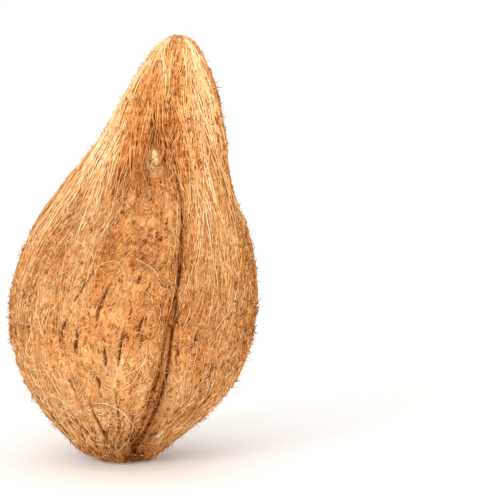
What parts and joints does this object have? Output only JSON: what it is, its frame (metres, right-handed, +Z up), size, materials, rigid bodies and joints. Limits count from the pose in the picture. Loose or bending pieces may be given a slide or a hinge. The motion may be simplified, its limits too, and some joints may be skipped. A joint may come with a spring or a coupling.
{
  "type": "coconut",
  "caption": "Partly husked coconut: a round nut in matted brown fibre that draws up into a leaning tuft, with lobes and grooves from pole to pole.",
  "frame": {"origin": "middle of the small flat spot at the lower pole, which the fruit rests on", "axes": "+Z up from the flat spot to the tip, +X towards the side that the tuft leans to, -Y towards the front, where one groove shows right of the middle"},
  "size_m": [0.1104, 0.1074, 0.1892],
  "materials": {
    "husk": "matte"
  },
  "bodies": {
    "root": {"coconut": "husk"}
  },
  "joints": []
}
